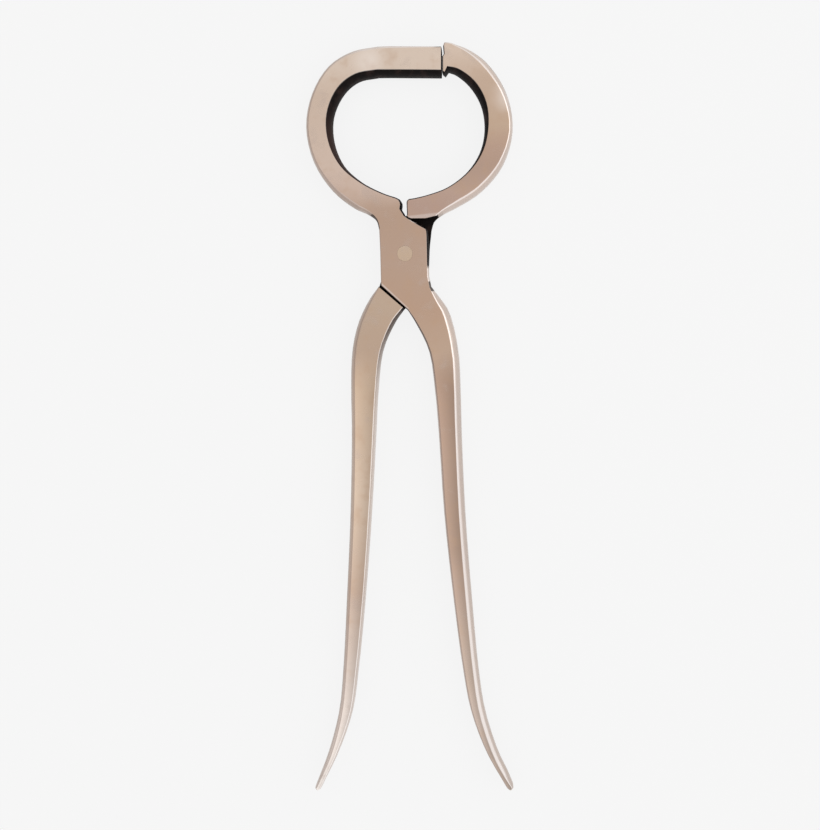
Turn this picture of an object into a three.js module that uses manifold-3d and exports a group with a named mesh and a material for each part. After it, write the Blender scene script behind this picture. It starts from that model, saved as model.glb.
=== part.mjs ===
// Crucible tongs: two flat forged levers crossing in a half-lap joint on one flush rivet.
// Millimetres. +X to the right, +Y from the handles to the jaws, +Z up out of the flat front
// face. The origin is on the pivot axis, on the underside. The tongs lie flat and closed.

import * as THREE from 'three';
import { mergeVertices } from 'three/addons/utils/BufferGeometryUtils.js';
import Module from 'manifold-3d';

const wasm = await Module();
wasm.setup();

// Thickness of the forging: constant over the jaws and the boss, then a straight taper along
// the handles, centred on the middle plane. All four handle faces stay flat planes.
const THICKNESS = 11;
const TIP_THICKNESS = 6.4;
const TAPER_START_Y = -35;
const TAPER_END_Y = -225;
const MIDDLE_Z = THICKNESS / 2;

// The half-lap: each lever is cut to half thickness over the boss, with a gap between them.
const LAP_GAP = 0.3;
const LAP_OVERCUT = 1;

// Pivot rivet with a countersunk head peened flush on each face.
const RIVET_HEAD_RADIUS = 3.1;
const RIVET_SHANK_RADIUS = 2.5;
const RIVET_HEAD_DEPTH = 1.4;
const RIVET_FIXED_CLEARANCE = 0.04;
const RIVET_RUNNING_CLEARANCE = 0.08;
const ROUND_SEGMENTS = 64;

// The bar runs past its end in the outline and is sawn off square by a block.
const BAR_END_X = 14.4;
const BAR_END_BLOCK = [8, 24, 24];
const BAR_MIDDLE_Y = 76;

// The sides of a lever are barrelled, and round over into the flat faces. Each level is a height
// above the middle plane, as a fraction of half the thickness, and the power sets how square the
// section is. The angles are the steps round the edge.
const BARREL_LEVELS = [0, 0.5, 0.78];
const BARREL_POWER = 3;
const EDGE_RADIUS = 0.4;
const EDGE_ANGLES = [0, 30, 60, 90];

const STEEL = { color: 0xb79884, roughness: 0.38, metalness: 1 };
const RIVET_STEEL = { color: 0xc4ac94, roughness: 0.34, metalness: 1 };

// Outlines at the middle plane, anticlockwise. Each stretch is a straight line (two points) or
// a smooth curve through its points, cut into the given number of pieces, and a straight edge
// joins it to the next. A point is x, y, and how far the flat face's edge lies inside it.

const BAR_JAW = [
  { pieces: 1, points: [[18, 81.9, 0.5], [-6, 82.6, 1.0]] },
  { pieces: 40, points: [
    [-11, 82.5, 1.1], [-21.3, 80.7, 1.2], [-30.9, 75.1, 1.2], [-37.8, 64.3, 1.2],
    [-40.4, 51.0, 1.2], [-37.3, 36.8, 1.3], [-29.8, 25.4, 1.7], [-20.6, 18.2, 1.8],
    [-15.2, 15.8, 1.2], [-11.8, 13.2, 0.6], [-10.6, 9.4, 0.3],
  ] },
];

const BAR_BOSS_LEFT = [
  { pieces: 1, points: [[-10.2, 1.0, 0.25], [-9.9, -13.0, 0.25]] },
];

const RIGHT_HANDLE = [
  { pieces: 34, points: [
    [1.0, -22.9, 0.4], [4.1, -27.9, 0.7], [9.6, -39.3, 0.8], [12.1, -55.8, 0.8],
    [13.6, -72.3, 0.8], [15.9, -105.7, 0.8], [19.6, -139.5, 0.7], [24.2, -173.6, 0.7],
    [27.6, -190.8, 0.7], [34.0, -208.0, 0.6], [42.2, -222.4, 0.4],
  ] },
  { pieces: 4, points: [[42.8, -223.2, 0.3], [44.4, -224.3, 0.3], [45.5, -223.3, 0.4]] },
  { pieces: 34, points: [
    [45.4, -222.2, 0.7], [43.1, -216.5, 2.0], [39.0, -207.9, 2.3], [33.5, -190.7, 2.4],
    [30.7, -173.5, 2.3], [27.4, -139.4, 2.4], [24.7, -105.6, 2.4], [23.1, -72.3, 2.3],
    [22.6, -55.7, 2.3], [21.6, -39.3, 2.3], [17.8, -23.6, 2.2], [14.2, -18.1, 1.7],
    [10.5, -13.4, 0.3],
  ] },
];

const BAR_BOSS_RIGHT = [
  { pieces: 1, points: [[9.6, -9.0, 0.25], [9.3, 6.5, 0.25]] },
  { pieces: 1, points: [[9.1, 9.1, 0.25], [8.6, 10.1, 0.25]] },
  { pieces: 1, points: [[3.0, 13.2, 0.25], [-0.1, 15.4, 0.25]] },
];

const BAR_JAW_INSIDE = [
  { pieces: 6, points: [[-1.7, 17.9, 0.25], [-1.5, 20.3, 0.3], [-2.4, 21.9, 0.3]] },
  { pieces: 40, points: [
    [-3.8, 22.6, 0.3], [-9.1, 24.4, 0.3], [-17.6, 28.8, 0.4], [-25.1, 35.6, 0.9],
    [-29.1, 45.1, 1.7], [-29.2, 55.3, 2.3], [-24.9, 64.2, 2.8], [-19.0, 69.0, 2.5],
    [-11.0, 70.6, 2.3],
  ] },
  { pieces: 1, points: [[-6, 70.6, 2.2], [18, 70.1, 2.2]] },
];

const BEAK_BOSS_RIGHT = [
  { pieces: 1, points: [[9.0, -13.5, 0.25], [9.0, -8.0, 0.25]] },
  { pieces: 1, points: [[9.4, -5.0, 0.25], [9.6, 1.2, 0.25]] },
  { pieces: 1, points: [[9.8, 4.0, 0.25], [10.1, 6.5, 0.25]] },
];

const BEAK_JAW = [
  { pieces: 42, points: [
    [10.4, 9.4, 0.3], [11.6, 13.0, 0.6], [15.1, 15.7, 1.2], [20.4, 18.3, 1.9],
    [30.6, 24.7, 2.0], [39.4, 35.4, 1.7], [43.1, 49.2, 1.1], [40.7, 63.2, 1.7],
    [33.2, 75.1, 2.3], [25.4, 80.8, 1.5], [18.9, 83.2, 0.6],
  ] },
  { pieces: 4, points: [[17.4, 83.5, 0.5], [15.6, 83.4, 0.4], [15.1, 82.0, 0.3]] },
  { pieces: 1, points: [[15.4, 78.7, 0.2], [14.8, 77.9, 0.2]] },
  { pieces: 1, points: [[14.8, 71.9, 0.2], [15.9, 70.9, 0.3]] },
  { pieces: 42, points: [
    [17.3, 72.4, 1.2], [20.2, 71.2, 1.8], [26.1, 66.0, 2.5], [30.4, 58.6, 2.2],
    [31.8, 49.6, 1.4], [30.1, 40.7, 1.0], [25.4, 33.0, 0.5], [17.3, 26.6, 0.3],
    [9.2, 23.6, 0.3], [3.8, 22.3, 0.3],
  ] },
  { pieces: 3, points: [[1.6, 22.0, 0.3], [0.6, 21.2, 0.3], [0.5, 19.8, 0.3]] },
];

const BEAK_BOSS_LEFT = [
  { pieces: 1, points: [[0.7, 15.8, 0.25], [-3.0, 13.2, 0.25]] },
  { pieces: 1, points: [[-8.6, 10.1, 0.25], [-9.1, 9.1, 0.25]] },
  { pieces: 1, points: [[-9.3, 6.5, 0.25], [-9.6, -9.0, 0.25]] },
];

const LEFT_HANDLE = [
  { pieces: 34, points: [
    [-10.9, -13.3, 0.3], [-14.6, -18.1, 1.2], [-19.4, -27.9, 1.7], [-22.0, -39.4, 1.8],
    [-22.6, -56.0, 1.8], [-22.4, -72.6, 1.7], [-23.1, -106.2, 1.7], [-24.7, -140.3, 1.7],
    [-26.6, -174.8, 1.6], [-28.4, -192.2, 1.6], [-32.9, -209.9, 1.6], [-38.4, -224.6, 0.7],
  ] },
  { pieces: 4, points: [[-38.7, -225.6, 0.4], [-37.6, -226.7, 0.3], [-36.2, -225.9, 0.3]] },
  { pieces: 34, points: [
    [-35.5, -224.6, 0.4], [-28.5, -209.7, 0.8], [-22.6, -192.1, 0.8], [-20.1, -174.6, 0.8],
    [-16.7, -140.1, 0.8], [-14.2, -106.1, 0.8], [-12.3, -72.5, 0.8], [-11.4, -55.9, 0.8],
    [-9.4, -39.4, 0.8], [-4.3, -27.9, 1.2], [-0.8, -22.8, 0.8],
  ] },
];

// Cut in the front half of the beak lever, and mirrored in the back half of the bar lever. It
// leaves one shoulder under the jaw's root and one across the top of the handle.
const LAP_POCKET = [
  [0.5, 26], [0.5, 21.4], [0.7, 15.6], [1.3, 14.6], [2.5, 14.1], [8.4, 14.1], [13.2, 15.3],
  [17.0, 9.0], [26, 9.0], [26, -31], [8.5, -31], [-0.1, -22.4], [-10.3, -13.7], [-26, -0.6],
  [-26, 26],
];

/** Points along the outline, each with x, y and the face's inset in z. */
function outlinePoints(stretches) {
  return stretches.flatMap(({ pieces, points }) => {
    const knots = points.map((point) => new THREE.Vector3(...point));
    return new THREE.CatmullRomCurve3(knots, false, 'centripetal').getPoints(pieces);
  });
}

/** Inward mitre vector at each point: moving every point by it insets the outline by one. */
function inwardMitres(outline) {
  const count = outline.length;
  return outline.map((point, i) => {
    const before = edgeNormal(outline[(i + count - 1) % count], point);
    const after = edgeNormal(point, outline[(i + 1) % count]);
    const mitre = before.clone().add(after);
    return mitre.multiplyScalar(1 / (1 + before.dot(after)));
  });
}

/** Unit normal on the left of the edge, which is the inside of an anticlockwise outline. */
function edgeNormal(from, to) {
  return new THREE.Vector2(from.y - to.y, to.x - from.x).normalize();
}

/** Rows up a side, from the back face to the front: the level, and the edge round's inset. */
function sideRows() {
  const barrel = BARREL_LEVELS.map((level) => ({ level, rounding: 0 }));
  const edge = EDGE_ANGLES.map((degrees) => {
    const angle = THREE.MathUtils.degToRad(degrees);
    return {
      level: 1 - (EDGE_RADIUS / MIDDLE_Z) * (1 - Math.sin(angle)),
      rounding: EDGE_RADIUS * (1 - Math.cos(angle)),
    };
  });
  const upper = [...barrel, ...edge];
  const lower = upper.slice(1).reverse().map((row) => ({ ...row, level: -row.level }));
  return [...lower, ...upper];
}

/** A flat bar of the outline's shape with barrelled sides and flat front and back faces. */
function forgedBar(stretches) {
  const outline = outlinePoints(stretches);
  const mitres = inwardMitres(outline);
  const rows = sideRows();
  const count = outline.length;
  const rings = rows.map(({ level, rounding }) => outline.map((point, i) => {
    const inset = point.z * Math.abs(level) ** BARREL_POWER + rounding;
    const across = new THREE.Vector2(point.x, point.y).addScaledVector(mitres[i], inset);
    return new THREE.Vector3(across.x, across.y, MIDDLE_Z * (1 + level));
  }));
  const positions = rings.flat().flatMap((point) => point.toArray());
  const triangles = [];
  for (let row = 0; row < rows.length - 1; row += 1) {
    for (let i = 0; i < count; i += 1) {
      const here = row * count + i;
      const next = row * count + ((i + 1) % count);
      triangles.push(here, next, next + count, here, next + count, here + count);
    }
  }
  const face = rings[0].map((point) => new THREE.Vector2(point.x, point.y));
  const top = (rows.length - 1) * count;
  for (const [a, b, c] of THREE.ShapeUtils.triangulateShape(face, [])) {
    triangles.push(a, c, b, top + a, top + b, top + c);
  }
  const geometry = new THREE.BufferGeometry();
  geometry.setAttribute('position', new THREE.Float32BufferAttribute(positions, 3));
  geometry.setIndex(triangles);
  return geometry;
}

/** A closed geometry as a solid that can be joined and cut. */
function solid(geometry) {
  const bare = geometry.clone();
  bare.deleteAttribute('normal');
  bare.deleteAttribute('uv');
  const merged = mergeVertices(bare, 1e-5);
  return new wasm.Manifold(new wasm.Mesh({
    numProp: 3,
    vertProperties: new Float32Array(merged.attributes.position.array),
    triVerts: new Uint32Array(merged.index.array),
  }));
}

/** The bar with its handle thinned about the middle plane, from the taper's start to the tip. */
function tapered(bar) {
  const [handle, jawEnd] = bar.splitByPlane([0, -1, 0], -TAPER_START_Y);
  const thinned = handle.warp((vertex) => {
    const along = (TAPER_START_Y - vertex[1]) / (TAPER_START_Y - TAPER_END_Y);
    const share = THREE.MathUtils.lerp(1, TIP_THICKNESS / THICKNESS, along);
    vertex[2] = MIDDLE_Z + (vertex[2] - MIDDLE_Z) * share;
  });
  return jawEnd.add(thinned);
}

/** A solid back as a geometry. */
function geometryOf(body) {
  const mesh = body.getMesh();
  const geometry = new THREE.BufferGeometry();
  geometry.setAttribute('position', new THREE.BufferAttribute(mesh.vertProperties, 3));
  geometry.setIndex(new THREE.BufferAttribute(mesh.triVerts, 1));
  geometry.computeVertexNormals();
  return geometry;
}

/** Cutter for the half of the thickness in front of the lap plane. */
function frontCutter(points) {
  const shape = new THREE.Shape(points.map(([x, y]) => new THREE.Vector2(x, y)));
  const depth = THICKNESS / 2 + LAP_OVERCUT;
  const geometry = new THREE.ExtrudeGeometry(shape, { depth, bevelEnabled: false });
  geometry.translate(0, 0, MIDDLE_Z - LAP_GAP / 2);
  return geometry;
}

/** The same cutter turned half round about the tool's long axis, so that it cuts the back. */
function backCutter(points) {
  const geometry = frontCutter(points);
  geometry.rotateY(Math.PI);
  geometry.translate(0, 0, THICKNESS);
  return geometry;
}

/** Block whose left face is the bar's end face. */
function barEndCutter() {
  const block = new THREE.BoxGeometry(...BAR_END_BLOCK);
  block.translate(BAR_END_X + BAR_END_BLOCK[0] / 2, BAR_MIDDLE_Y, MIDDLE_Z);
  return block;
}

/** Body of revolution with a countersunk head at each face, grown by the clearance. */
function rivetShape(clearance, beyondFaces) {
  const head = RIVET_HEAD_RADIUS + clearance;
  const shank = RIVET_SHANK_RADIUS + clearance;
  const low = -beyondFaces;
  const high = THICKNESS + beyondFaces;
  const profile = [
    [0, low], [head, low], [head, 0], [shank, RIVET_HEAD_DEPTH],
    [shank, THICKNESS - RIVET_HEAD_DEPTH], [head, THICKNESS], [head, high], [0, high],
  ].map(([radius, height]) => new THREE.Vector2(radius, height));
  const geometry = new THREE.LatheGeometry(profile, ROUND_SEGMENTS);
  geometry.rotateX(Math.PI / 2);
  return geometry;
}

function named(name, geometry, look) {
  const mesh = new THREE.Mesh(geometry, new THREE.MeshStandardMaterial(look));
  mesh.name = name;
  return mesh;
}

/** Left jaw with the straight bar, front half of the boss, and right handle. */
function barJawLever() {
  const outline = [
    ...BAR_JAW, ...BAR_BOSS_LEFT, ...RIGHT_HANDLE, ...BAR_BOSS_RIGHT, ...BAR_JAW_INSIDE,
  ];
  const lever = tapered(solid(forgedBar(outline)))
    .subtract(solid(barEndCutter()))
    .subtract(solid(backCutter(LAP_POCKET)))
    .subtract(solid(rivetShape(RIVET_FIXED_CLEARANCE, LAP_OVERCUT)));
  return named('bar_jaw_lever', geometryOf(lever), STEEL);
}

/** Right jaw with the beak, back half of the boss, and left handle. */
function beakJawLever() {
  const outline = [...BEAK_BOSS_RIGHT, ...BEAK_JAW, ...BEAK_BOSS_LEFT, ...LEFT_HANDLE];
  const lever = tapered(solid(forgedBar(outline)))
    .subtract(solid(frontCutter(LAP_POCKET)))
    .subtract(solid(rivetShape(RIVET_RUNNING_CLEARANCE, LAP_OVERCUT)));
  return named('beak_jaw_lever', geometryOf(lever), STEEL);
}

function pivotRivet() {
  return named('pivot_rivet', geometryOf(solid(rivetShape(0, 0))), RIVET_STEEL);
}

const tongs = new THREE.Group();
tongs.add(barJawLever(), beakJawLever(), pivotRivet());

export default tongs;
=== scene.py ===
"""Looks of the crucible tongs: satin ground steel levers, dark on the inner jaw walls, with painted
light and shade on their sides, edges, gaps and crotch.
"""

import math

import bmesh
import bpy
from mathutils import Matrix, Vector


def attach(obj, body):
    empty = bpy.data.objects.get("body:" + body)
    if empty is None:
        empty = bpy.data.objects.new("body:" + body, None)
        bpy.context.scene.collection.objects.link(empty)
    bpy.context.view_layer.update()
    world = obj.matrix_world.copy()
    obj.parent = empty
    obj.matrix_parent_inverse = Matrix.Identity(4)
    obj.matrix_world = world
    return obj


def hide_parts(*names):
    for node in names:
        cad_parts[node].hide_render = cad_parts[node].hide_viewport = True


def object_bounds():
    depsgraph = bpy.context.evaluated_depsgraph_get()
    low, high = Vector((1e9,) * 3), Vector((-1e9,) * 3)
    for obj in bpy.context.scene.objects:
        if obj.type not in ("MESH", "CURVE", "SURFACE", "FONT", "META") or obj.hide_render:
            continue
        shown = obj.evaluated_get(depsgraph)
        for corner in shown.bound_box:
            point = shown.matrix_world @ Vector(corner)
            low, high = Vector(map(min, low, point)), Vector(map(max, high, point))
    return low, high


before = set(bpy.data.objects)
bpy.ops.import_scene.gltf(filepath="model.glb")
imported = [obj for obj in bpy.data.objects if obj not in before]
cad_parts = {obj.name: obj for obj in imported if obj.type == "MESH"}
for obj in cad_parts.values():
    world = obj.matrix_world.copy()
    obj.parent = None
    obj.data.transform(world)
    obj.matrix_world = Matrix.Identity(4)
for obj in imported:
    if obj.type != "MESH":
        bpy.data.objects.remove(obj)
cad_low, cad_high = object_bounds()

MM = 0.001

# Where the camera stands and looks, in the tongs' frame: nearly straight down on the front face.
CAMERA_PLACE = Vector((38.9, -18.5, 511.0)) * MM
CAMERA_TARGET = Vector((2.1, -65.5, 11.0)) * MM
CAMERA_LENS = 53.43
CAMERA_SENSOR = 36.0

# The ring's centre, the pivot and the middle of the thickness. How far walls that face the ring's
# centre stay dark and walls that face the pivot carry painted shade, how far from the middle the
# lap faces with painted shade lie at most, where the jaws start, and the middle line between the
# handles.
MIDDLE_Z = (cad_low.z + cad_high.z) / 2
RING_CENTRE = Vector((1.5 * MM, 47.5 * MM, MIDDLE_Z))
RING_REACH = 40.0 * MM
PIVOT = Vector((0.0, 0.0, 0.0))
SHOULDER_REACH = 23.0 * MM
LAP_HALF_BAND = 0.4 * MM
JAW_START_Y = 16.0 * MM
HANDLES_MIDDLE_X = 1.0 * MM

# How the meshes are welded, and the angle above which an edge stays sharp.
WELD = 0.002 * MM
SMOOTH_ANGLE = math.radians(36)


# ---- meshes -------------------------------------------------------------------------------


def fine_copy(node, name):
    """A copy of a CAD node, welded and shaded smooth, with level flats and sharp cut edges."""
    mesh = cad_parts[node].data.copy()
    mesh.name = name
    mesh.materials.clear()
    bm = bmesh.new()
    bm.from_mesh(mesh)
    bmesh.ops.remove_doubles(bm, verts=bm.verts, dist=WELD)
    for face in bm.faces:
        face.smooth = True
    for edge in bm.edges:
        edge.smooth = edge.calc_face_angle(0) < SMOOTH_ANGLE
    bm.to_mesh(mesh)
    bm.free()
    piece = bpy.data.objects.new(name, mesh)
    bpy.context.collection.objects.link(piece)
    normals = piece.modifiers.new("level_flats", "WEIGHTED_NORMAL")
    normals.keep_sharp = True
    return piece


# ---- shader helpers -----------------------------------------------------------------------


class Shader:
    """A material's node tree, with short calls for the nodes used here."""

    def __init__(self, name):
        self.material = bpy.data.materials.new(name)
        self.material.use_nodes = True
        self.tree = self.material.node_tree
        self.surface = self.tree.nodes["Principled BSDF"]
        self.place = self.node("ShaderNodeTexCoord").outputs["Object"]
        self.normal = self.node("ShaderNodeTexCoord").outputs["Normal"]

    def node(self, kind):
        return self.tree.nodes.new(kind)

    def feed(self, socket, value):
        """Links an output into the socket, or sets the socket's own value."""
        if isinstance(value, bpy.types.NodeSocket):
            self.tree.links.new(value, socket)
        else:
            socket.default_value = value

    def math(self, operation, first, second=0.0, clamp=False):
        node = self.node("ShaderNodeMath")
        node.operation = operation
        node.use_clamp = clamp
        self.feed(node.inputs[0], first)
        self.feed(node.inputs[1], second)
        return node.outputs[0]

    def vector(self, operation, first, second=(0, 0, 0)):
        """A vector sum, or the number of a dot product or a length."""
        node = self.node("ShaderNodeVectorMath")
        node.operation = operation
        self.feed(node.inputs[0], first)
        self.feed(node.inputs[1], second)
        return node.outputs["Value" if operation in ("DOT_PRODUCT", "LENGTH") else "Vector"]

    def scaled(self, vector, amount):
        """The vector, or colour, times a number."""
        node = self.node("ShaderNodeVectorMath")
        node.operation = "SCALE"
        self.feed(node.inputs[0], vector)
        self.feed(node.inputs["Scale"], amount)
        return node.outputs["Vector"]

    def axes(self, vector):
        node = self.node("ShaderNodeSeparateXYZ")
        self.feed(node.inputs[0], vector)
        return node.outputs

    def step(self, value, low, high, out_low=0.0, out_high=1.0):
        """Smooth step of value from low to high."""
        node = self.node("ShaderNodeMapRange")
        node.interpolation_type = "SMOOTHSTEP"
        for socket, amount in zip(node.inputs, (value, low, high, out_low, out_high)):
            self.feed(socket, amount)
        return node.outputs["Result"]

    def noise(self, size, detail=3.0, roughness=0.55, stretch=(1, 1, 1), seed=0.0):
        """Noise with features of about the given size in metres."""
        mapping = self.node("ShaderNodeMapping")
        self.feed(mapping.inputs["Vector"], self.place)
        mapping.inputs["Location"].default_value = (seed, seed * 0.7, seed * 1.3)
        mapping.inputs["Scale"].default_value = [1 / (size * s) for s in stretch]
        node = self.node("ShaderNodeTexNoise")
        self.feed(node.inputs["Vector"], mapping.outputs["Vector"])
        node.inputs["Scale"].default_value = 1.0
        node.inputs["Detail"].default_value = detail
        node.inputs["Roughness"].default_value = roughness
        return node.outputs["Fac"]

    def mix(self, amount, first, second):
        """Colour mix from first to second."""
        node = self.node("ShaderNodeMix")
        node.data_type = "RGBA"
        self.feed(node.inputs[0], amount)
        self.feed(node.inputs[6], first)
        self.feed(node.inputs[7], second)
        return node.outputs[2]

    def blend(self, amount, first, second):
        """Number mix from first to second."""
        node = self.node("ShaderNodeMix")
        self.feed(node.inputs[0], amount)
        self.feed(node.inputs[2], first)
        self.feed(node.inputs[3], second)
        return node.outputs[0]

    def ramp(self, value, low, high, stops):
        """Colour along value, through stops of (place, linear colour)."""
        node = self.node("ShaderNodeValToRGB")
        share = self.node("ShaderNodeMapRange")
        for socket, amount in zip(share.inputs, (value, low, high)):
            self.feed(socket, amount)
        self.feed(node.inputs[0], share.outputs["Result"])
        elements = node.color_ramp.elements
        while len(elements) < len(stops):
            elements.new(0.5)
        for element, (place, colour) in zip(elements, stops):
            element.position = (place - low) / (high - low)
            element.color = colour
        return node.outputs["Color"]

    def bump(self, height, strength, distance):
        """Normal of a surface with this height map, in units of the distance."""
        node = self.node("ShaderNodeBump")
        node.inputs["Strength"].default_value = strength
        node.inputs["Distance"].default_value = distance
        self.feed(node.inputs["Height"], height)
        return node.outputs["Normal"]


def srgb(red, green, blue):
    """A colour given as display values 0 to 255."""
    def linear(value):
        value /= 255
        return value / 12.92 if value <= 0.04045 else ((value + 0.055) / 1.055) ** 2.4
    return (linear(red), linear(green), linear(blue), 1.0)


# ---- materials ----------------------------------------------------------------------------

# Face colour along each lever, from the handle's tip to the jaw: y in metres, display values.
BAR_LEVER_SHADES = (
    (-0.224, 174, 160, 149),
    (-0.214, 168, 151, 139),
    (-0.192, 197, 179, 167),
    (-0.173, 193, 173, 158),
    (-0.139, 187, 163, 148),
    (-0.122, 177, 151, 134),
    (-0.085, 182, 155, 138),
    (-0.056, 178, 150, 132),
    (-0.039, 192, 166, 146),
    (-0.020, 188, 158, 137),
    (-0.005, 187, 160, 142),
    (0.012, 186, 158, 139),
    (0.018, 188, 161, 143),
    (0.026, 208, 184, 169),
    (0.034, 212, 190, 175),
    (0.062, 209, 187, 170),
    (0.076, 219, 200, 184),
)
BEAK_LEVER_SHADES = (
    (-0.226, 228, 220, 214),
    (-0.208, 240, 228, 220),
    (-0.192, 229, 215, 206),
    (-0.178, 215, 200, 190),
    (-0.140, 197, 172, 154),
    (-0.100, 212, 190, 170),
    (-0.056, 203, 178, 155),
    (-0.040, 190, 165, 145),
    (-0.021, 193, 170, 150),
    (0.018, 184, 156, 142),
    (0.026, 188, 161, 146),
    (0.033, 181, 154, 138),
    (0.042, 187, 158, 140),
    (0.050, 197, 171, 149),
    (0.069, 199, 174, 154),
    (0.078, 217, 196, 179),
)
RIVET_SHADES = ((-0.004, 199, 174, 150), (0.004, 201, 177, 154))
SHADES_FROM = -0.23
SHADES_TO = 0.09

# The flat face of each handle, from the tip to the boss: y, left edge and right edge in
# millimetres. The face is painted paler towards its left edge and darker towards its right: painted
# light and shade standing in for the light on a slight camber that the mesh does not have.
RIGHT_HANDLE_FACE = (
    (-222, 42.6, 44.6), (-208, 34.7, 36.6), (-191, 28.3, 31.0), (-174, 24.9, 28.4),
    (-139, 20.3, 25.0), (-106, 16.7, 22.3), (-72, 14.4, 20.8), (-56, 12.9, 20.3),
    (-39, 10.4, 19.3), (-25, 2.6, 16.2),
)
LEFT_HANDLE_FACE = (
    (-225, -37.7, -35.9), (-210, -31.3, -29.3), (-192, -26.8, -23.4), (-175, -25.0, -20.9),
    (-140, -23.0, -17.5), (-106, -21.4, -15.0), (-73, -20.7, -13.1), (-56, -20.8, -12.2),
    (-39, -20.2, -10.2), (-25, -17.0, -2.8),
)
RIVET_FACE = ((-4, -3.1, 3.1), (4, -3.1, 3.1))

# Half the width that the edges' places are stored over, how much the painted shade darkens the
# right edge and lightens the left, and where along the handle this starts and is full.
FACE_SPAN = 50.0
CAMBER_PAINTED_SHADE = 0.22
CAMBER_SHADE_START_Y = -32 * MM
CAMBER_SHADE_FULL_Y = -62 * MM

# How many millimetres the face colours wander along the lever, how strong the warm and cool stains
# and the rust are, and how strong the painted light and shade on the sides and the painted shade in
# the crotch are.
CLOUD_WANDER = 16 * MM
WARM_AMOUNT = 0.38
COOL_AMOUNT = 0.34
SIDE_AMOUNT = 0.75
RUST_AMOUNT = 0.25
CROTCH_AMOUNT = 0.9

WARM_STAIN = srgb(190, 158, 132)
COOL_STAIN = srgb(190, 172, 162)
# Painted light and painted shade on the sides.
SIDE_PAINTED_LIGHT = srgb(214, 200, 191)
SIDE_PAINTED_SHADE = srgb(166, 150, 141)
# Painted highlight and painted shade on the edges.
EDGE_PAINTED_HIGHLIGHT = srgb(250, 244, 242)
EDGE_PAINTED_SHADE = srgb(160, 138, 128)
# Dark inner jaw walls, and painted shade in gaps and recesses.
BLACK_WALL_AND_SHADE = srgb(14, 8, 7)
BROWN_WALL_AND_SHADE = srgb(52, 36, 32)
# Painted shade in the crotch.
CROTCH_PAINTED_SHADE = srgb(60, 44, 38)
# Painted highlight.
HIGHLIGHT_PAINT = srgb(250, 241, 234)
RUST = srgb(118, 66, 48)

# Painted shade in narrow gaps and corners: a place on the flat of the tool, how far it reaches, and
# how dark it is.
SHADED_CLEFTS = (
    (Vector((14.6, 75.0, 0)) * MM, 7.5 * MM, 1.0),
    (Vector((0.0, 17.5, 0)) * MM, 5.0 * MM, 1.0),
    (Vector((10.6, 4.5, 0)) * MM, 11.2 * MM, 1.0),
    (Vector((-12.5, 12.5, 0)) * MM, 3.8 * MM, 0.8),
    (Vector((11.0, -13.0, 0)) * MM, 2.4 * MM, 0.85),
)

# Painted highlights on the face: the place, how far it reaches, and how bright it is.
PAINTED_HIGHLIGHTS = (
    (Vector((-14.5, 76.5, 0)) * MM, 9.0 * MM, 0.4),
    (Vector((41.5, 62.0, 0)) * MM, 9.0 * MM, 0.45),
)

# Lines on the flat of the tool, from start to end, and how far each reaches: painted shade along
# the hidden edges of the two half-thickness plates, a painted highlight on the edge along the gap,
# and one on the edge under the jaw's root.
LAP_GAP_SHADE_LINES = (
    (Vector((-9.6, -13.3, 0)) * MM, Vector((0.7, -22.7, 0)) * MM, 1.5 * MM),
    (Vector((9.0, -13.5, 0)) * MM, Vector((-0.5, -22.6, 0)) * MM, 1.5 * MM),
)
LAP_GAP_HIGHLIGHT = (Vector((-9.5, -12.5, 0)) * MM, Vector((1.0, -22.2, 0)) * MM, 0.75 * MM)
ROOT_EDGE_HIGHLIGHT = (Vector((2.0, 14.3, 0)) * MM, Vector((14.0, 15.6, 0)) * MM, 1.1 * MM)
RUST_CENTRE = Vector((-12.0, 82.4, 10.0)) * MM
RUST_REACH = 2.2 * MM


def wall_facing(s, centre, reach_from, reach_to):
    """1 on side walls that face the centre, along the flat of the tool, within reach of it."""
    towards = s.vector("SUBTRACT", tuple(centre), s.place)
    towards = s.vector("MULTIPLY", towards, (1, 1, 0))
    facing = s.vector("DOT_PRODUCT", s.vector("NORMALIZE", towards), s.normal)
    near = s.step(s.vector("LENGTH", towards), reach_from, reach_to, 1.0, 0.0)
    return s.math("MULTIPLY", s.step(facing, 0.12, 0.42), near)


def patch(s, centre, reach):
    """1 at the centre of a round patch, fading to 0 at its reach; through the tool if z is 0."""
    away = s.vector("SUBTRACT", s.place, tuple(centre))
    if centre.z == 0:
        away = s.vector("MULTIPLY", away, (1, 1, 0))
    return s.step(s.vector("LENGTH", away), 0.0, reach, 1.0, 0.0)


def cleft(s, centre, reach):
    """1 on upright walls close to the centre of a narrow gap."""
    upright = s.step(s.math("ABSOLUTE", s.axes(s.normal)[2]), 0.985, 0.9)
    away = s.vector("MULTIPLY", s.vector("SUBTRACT", s.place, tuple(centre)), (1, 1, 0))
    near = s.step(s.vector("LENGTH", away), reach * 0.8, reach, 1.0, 0.0)
    return s.math("MULTIPLY", upright, near)


def along_line(s, start, end, reach):
    """1 near the straight line between two places on the flat of the tool, 0 at its reach."""
    run = end - start
    along = s.vector("DOT_PRODUCT", s.vector("SUBTRACT", s.place, tuple(start)), tuple(run))
    share = s.math("MULTIPLY", along, 1 / run.length_squared, clamp=True)
    foot = s.vector("ADD", s.scaled(tuple(run), share), tuple(start))
    away = s.vector("MULTIPLY", s.vector("SUBTRACT", s.place, foot), (1, 1, 0))
    return s.step(s.vector("LENGTH", away), reach * 0.4, reach, 1.0, 0.0)


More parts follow.
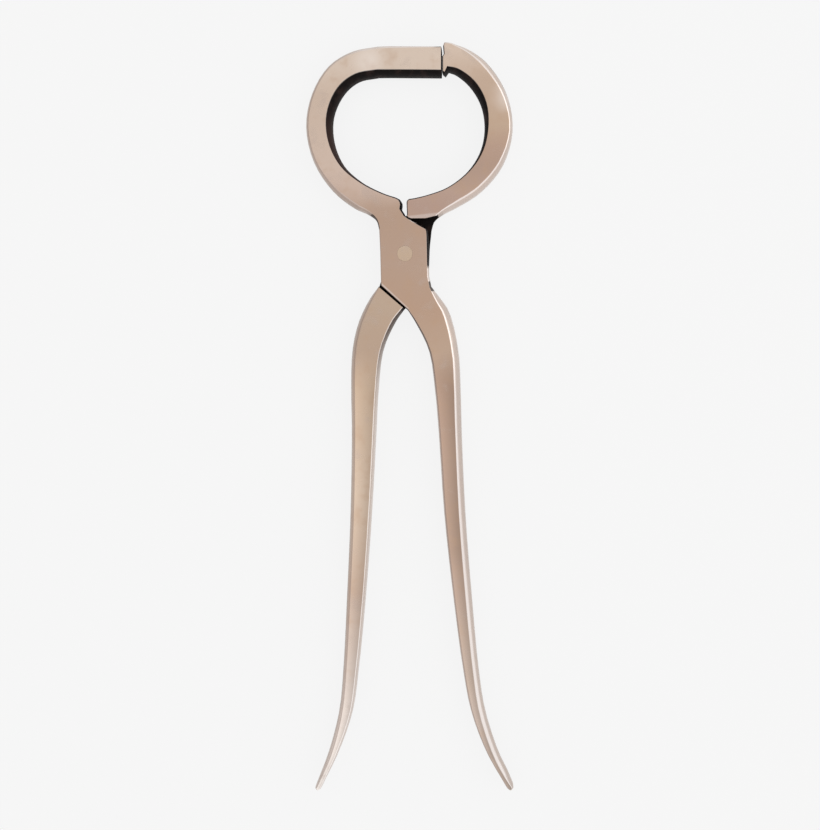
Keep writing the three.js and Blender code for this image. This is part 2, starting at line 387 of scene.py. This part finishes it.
def dark_wall_and_shade_mask(s):
    """1 where the steel is painted dark: the inner jaw walls, and painted shade on the lap faces,
    the shoulders, the clefts and along the plates' hidden edges.
    """
    _, y, z = s.axes(s.place)
    tilt = s.math("ABSOLUTE", s.axes(s.normal)[2])
    in_jaw = s.step(y, JAW_START_Y, JAW_START_Y + 3 * MM)
    jaw = s.math("MULTIPLY", wall_facing(s, RING_CENTRE, RING_REACH - 2 * MM, RING_REACH), in_jaw)
    # Painted shade on walls that face the pivot, and on the lap faces in the recess.
    shoulder = wall_facing(s, PIVOT, SHOULDER_REACH - 2.5 * MM, SHOULDER_REACH)
    off_lap = s.math("ABSOLUTE", s.math("SUBTRACT", z, MIDDLE_Z))
    lap = s.step(off_lap, LAP_HALF_BAND, LAP_HALF_BAND * 1.3, 1.0, 0.0)
    lap = s.math("MULTIPLY", lap, s.step(tilt, 0.8, 0.95))
    dark_and_shade = s.math("MAXIMUM", s.math("MAXIMUM", jaw, shoulder), lap)
    # Painted shade in narrow gaps and corners.
    for centre, reach, amount in SHADED_CLEFTS:
        dark_and_shade = s.math("MAXIMUM", dark_and_shade, s.math("MULTIPLY", cleft(s, centre, reach), amount))
    # Painted shade on upright walls along the plates' hidden edges.
    upright = s.step(tilt, 0.9, 0.7)
    for line in LAP_GAP_SHADE_LINES:
        dark_and_shade = s.math("MAXIMUM", dark_and_shade, s.math("MULTIPLY", along_line(s, *line), upright))
    return dark_and_shade


def crotch_mask(s):
    """1 where painted shade falls on the handles' inner sides next to the boss, fading down the
    handle.
    """
    x, y, _ = s.axes(s.place)
    normal_x = s.axes(s.normal)[0]
    side = s.math("SIGN", s.math("SUBTRACT", x, HANDLES_MIDDLE_X))
    inward = s.step(s.math("MULTIPLY", normal_x, s.math("MULTIPLY", side, -1.0)), 0.35, 0.7)
    fade = s.math("MULTIPLY", s.step(y, -62 * MM, -22 * MM), s.step(y, -18 * MM, -23 * MM))
    return s.math("MULTIPLY", inward, fade)


def across_face(s, face):
    """-1 at the left edge of the handle's face, 0 at its middle and 1 at its right edge."""
    x, y, _ = s.axes(s.place)
    stops = [
        (place * MM, [(edge + FACE_SPAN) / (2 * FACE_SPAN) for edge in edges] + [0.0, 1.0])
        for place, *edges in face
    ]
    left, right, _ = s.axes(s.ramp(y, SHADES_FROM, SHADES_TO, stops))
    here = s.math("DIVIDE", s.math("ADD", x, FACE_SPAN * MM), 2 * FACE_SPAN * MM)
    middle = s.math("MULTIPLY", s.math("ADD", left, right), 0.5)
    half_width = s.math("MULTIPLY", s.math("SUBTRACT", right, left), 0.5)
    across = s.math("DIVIDE", s.math("SUBTRACT", here, middle), half_width)
    return s.math("MAXIMUM", s.math("MINIMUM", across, 1.0), -1.0)


def face_colour(s, shades, face, mottle):
    """Colour along the lever, wandering a little, with warm and cool stains, painted highlights,
    and painted light and shade across the handles' faces.
    """
    y = s.axes(s.place)[1]
    cloud = s.noise(26 * MM, 2.0, 0.5, seed=3.1)
    wander = s.math("MULTIPLY", s.math("SUBTRACT", cloud, 0.5), CLOUD_WANDER)
    stops = [(place, srgb(*shade)) for place, *shade in shades]
    colour = s.ramp(s.math("ADD", y, wander), SHADES_FROM, SHADES_TO, stops)
    colour = s.mix(s.step(mottle, 0.5, 0.76, 0.0, WARM_AMOUNT), colour, WARM_STAIN)
    colour = s.mix(s.step(mottle, 0.46, 0.26, 0.0, COOL_AMOUNT), colour, COOL_STAIN)
    # Painted highlights where the face would catch the light.
    for centre, reach, amount in PAINTED_HIGHLIGHTS:
        colour = s.mix(s.math("MULTIPLY", patch(s, centre, reach), amount), colour, HIGHLIGHT_PAINT)
    # Painted light and shade across the handle's face: paler at its left edge, darker at its right.
    camber_shade_depth = s.step(y, CAMBER_SHADE_START_Y, CAMBER_SHADE_FULL_Y, 0.0, CAMBER_PAINTED_SHADE)
    camber_shade = s.math("MULTIPLY", across_face(s, face), camber_shade_depth)
    return s.scaled(colour, s.math("SUBTRACT", 1.0, camber_shade))


def side_and_edge_colour(s, colour):
    """The colour with the sides painted paler, and darker where they face left, as painted light
    and shade, and with painted highlights on the edges, darker where they face left.
    """
    tilt = s.math("ABSOLUTE", s.axes(s.normal)[2])
    leftward = s.step(s.axes(s.normal)[0], 0.1, -0.5)
    # Sides painted greyer and paler, darker where they face left: painted light and shade.
    side = s.math("MULTIPLY", s.step(tilt, 0.75, 0.6), SIDE_AMOUNT)
    colour = s.mix(side, colour, s.mix(leftward, SIDE_PAINTED_LIGHT, SIDE_PAINTED_SHADE))
    # Painted highlights on the rounded edges and along the two lips, darker where they face left.
    edge = s.math("MULTIPLY", s.step(tilt, 0.6, 0.78), s.step(tilt, 0.985, 0.94))
    on_face = s.step(tilt, 0.9, 0.98)
    for line, amount in ((ROOT_EDGE_HIGHLIGHT, 0.4), (LAP_GAP_HIGHLIGHT, 0.6)):
        lip_highlight = s.math("MULTIPLY", along_line(s, *line), on_face)
        edge = s.math("MAXIMUM", edge, s.math("MULTIPLY", lip_highlight, amount))
    edge = s.math("MULTIPLY", edge, s.blend(leftward, 0.62, 0.6))
    return s.mix(edge, colour, s.mix(leftward, EDGE_PAINTED_HIGHLIGHT, EDGE_PAINTED_SHADE))


def dark_wall_and_shade_colour(s):
    """Black that breaks up into brown in noisy patches, and is brown all through at the ring's
    lower left, for the dark inner walls and the painted shade.
    """
    x, y, _ = s.axes(s.place)
    brown_patches = s.step(s.noise(5 * MM, 3.0, 0.6, seed=5.3), 0.45, 0.75)
    lower_left = s.math("MULTIPLY", s.step(x, -8 * MM, -22 * MM), s.step(y, 62 * MM, 44 * MM))
    brown = s.math("MAXIMUM", s.math("MULTIPLY", brown_patches, 0.6), lower_left)
    return s.mix(brown, BLACK_WALL_AND_SHADE, BROWN_WALL_AND_SHADE)


def ground_steel(name, shades, face):
    """Satin ground steel with its face colours along the lever, painted light and shade on its
    sides, edges, gaps and crotch, and dark inner jaw walls.
    """
    s = Shader(name)
    mottle = s.noise(7 * MM, 3.0, 0.55)
    fine = s.noise(1.6 * MM, 2.0, 0.5, seed=7.7)
    brushed = s.noise(0.5 * MM, 2.0, 0.5, stretch=(1, 12, 4), seed=1.9)
    crotch_shade = s.math("MULTIPLY", crotch_mask(s), CROTCH_AMOUNT)
    dark_and_shade = dark_wall_and_shade_mask(s)

    colour = side_and_edge_colour(s, face_colour(s, shades, face, mottle))
    rust = s.math("MULTIPLY", patch(s, RUST_CENTRE, RUST_REACH), RUST_AMOUNT)
    colour = s.mix(rust, colour, RUST)
    # Painted shade on the handles' inner sides in the crotch.
    colour = s.mix(crotch_shade, colour, CROTCH_PAINTED_SHADE)
    # Dark inner jaw walls, and painted shade in gaps and recesses.
    colour = s.mix(dark_and_shade, colour, dark_wall_and_shade_colour(s))

    dull = s.math("MAXIMUM", dark_and_shade, s.math("MULTIPLY", crotch_shade, 0.7))
    coarse_rough = s.step(mottle, 0.3, 0.7, 0.27, 0.34)
    rough = s.math("ADD", coarse_rough, s.step(fine, 0.3, 0.7, -0.02, 0.02))
    s.feed(s.surface.inputs["Base Color"], colour)
    s.feed(s.surface.inputs["Roughness"], s.blend(dull, rough, 0.7))
    s.feed(s.surface.inputs["Metallic"], s.blend(dull, 1.0, 0.1))
    s.feed(s.surface.inputs["Specular IOR Level"], s.blend(dull, 0.5, 0.12))
    relief = s.math("ADD", s.math("MULTIPLY", brushed, 0.2), s.math("MULTIPLY", fine, 0.15))
    relief = s.math("ADD", relief, s.math("MULTIPLY", mottle, 1.2))
    s.feed(s.surface.inputs["Normal"], s.bump(relief, 0.1, 0.05 * MM))
    return s.material


# ---- the object ---------------------------------------------------------------------------


def build_lever(node, body, shades, face):
    """Smooth copy of a lever in its steel, riding on the lever's body."""
    piece = fine_copy(node, node + "_fine")
    piece.data.materials.append(ground_steel(node + "_steel", shades, face))
    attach(piece, body)
    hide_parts(node)


def build_rivet():
    """Smooth copy of the rivet, which turns with the bar lever that it is peened in."""
    piece = fine_copy("pivot_rivet", "pivot_rivet_fine")
    piece.data.materials.append(ground_steel("pivot_rivet_steel", RIVET_SHADES, RIVET_FACE))
    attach(piece, "bar_lever")
    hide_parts("pivot_rivet")


# ---- studio -------------------------------------------------------------------------------

# The floor is a light table: a dark sheet that glows, so that shadows on it stay faint. The sky
# is brightest towards one side, and its strength swings about the middle value.
FLOOR_SIZE = 40.0
FLOOR_SHADE = 0.07
FLOOR_GLOW = 0.853
SKY_MIDDLE = 0.96
SKY_SWING = 0.22
SKY_BRIGHT_SIDE = (0.85, -0.5, 0.0)
SOFTBOX_PLACE = (0.7, 0.25, 0.6)
SOFTBOX_SIZE = (0.7, 0.7)
SOFTBOX_POWER = 0.9


def build_floor():
    """White sheet lit from below as well, as on a light table, so that shadows stay faint."""
    bm = bmesh.new()
    bmesh.ops.create_grid(bm, x_segments=1, y_segments=1, size=FLOOR_SIZE / 2)
    mesh = bpy.data.meshes.new("floor")
    bm.to_mesh(mesh)
    bm.free()
    floor = bpy.data.objects.new("floor", mesh)
    floor.location.z = cad_low.z - 0.05 * MM
    bpy.context.collection.objects.link(floor)
    s = Shader("floor_paper")
    s.surface.inputs["Base Color"].default_value = (FLOOR_SHADE, FLOOR_SHADE, FLOOR_SHADE, 1)
    s.surface.inputs["Emission Color"].default_value = (1, 1, 1, 1)
    s.surface.inputs["Emission Strength"].default_value = FLOOR_GLOW
    s.surface.inputs["Roughness"].default_value = 1.0
    s.surface.inputs["Specular IOR Level"].default_value = 0.0
    mesh.materials.append(s.material)


def build_sky():
    """A soft white studio, brighter towards one side and dimmer towards the other."""
    world = bpy.data.worlds.new("studio")
    bpy.context.scene.world = world
    world.use_nodes = True
    nodes, links = world.node_tree.nodes, world.node_tree.links
    towards = nodes.new("ShaderNodeVectorMath")
    towards.operation = "DOT_PRODUCT"
    links.new(nodes.new("ShaderNodeTexCoord").outputs["Generated"], towards.inputs[0])
    towards.inputs[1].default_value = SKY_BRIGHT_SIDE
    strength = nodes.new("ShaderNodeMapRange")
    links.new(towards.outputs["Value"], strength.inputs["Value"])
    strength.inputs["From Min"].default_value = -1.0
    strength.inputs["To Min"].default_value = SKY_MIDDLE - SKY_SWING
    strength.inputs["To Max"].default_value = SKY_MIDDLE + SKY_SWING
    links.new(strength.outputs["Result"], nodes["Background"].inputs["Strength"])
    nodes["Background"].inputs["Color"].default_value = (1.0, 1.0, 1.0, 1)


def build_light(name, place, target, size, power):
    data = bpy.data.lights.new(name, "AREA")
    data.shape = "RECTANGLE"
    data.size, data.size_y = size
    data.energy = power
    light = bpy.data.objects.new(name, data)
    light.location = place
    light.rotation_euler = (Vector(target) - Vector(place)).to_track_quat("-Z", "Y").to_euler()
    bpy.context.collection.objects.link(light)


def build_camera():
    data = bpy.data.cameras.new("camera")
    data.lens = CAMERA_LENS
    data.sensor_width = CAMERA_SENSOR
    data.clip_start, data.clip_end = 0.01, 60.0
    camera = bpy.data.objects.new("camera", data)
    ahead = (CAMERA_TARGET - CAMERA_PLACE).normalized()
    right = ahead.cross(Vector((0, 1, 0))).normalized()
    up = right.cross(ahead)
    camera.location = CAMERA_PLACE
    camera.rotation_euler = Matrix((right, up, -ahead)).transposed().to_euler()
    bpy.context.collection.objects.link(camera)
    bpy.context.scene.camera = camera


build_camera()
build_lever("bar_jaw_lever", "bar_lever", BAR_LEVER_SHADES, RIGHT_HANDLE_FACE)
build_lever("beak_jaw_lever", "beak_lever", BEAK_LEVER_SHADES, LEFT_HANDLE_FACE)
build_rivet()
build_floor()
build_sky()
build_light("softbox", SOFTBOX_PLACE, (0, 0, 0), SOFTBOX_SIZE, SOFTBOX_POWER)
bpy.context.scene.view_settings.view_transform = "Standard"
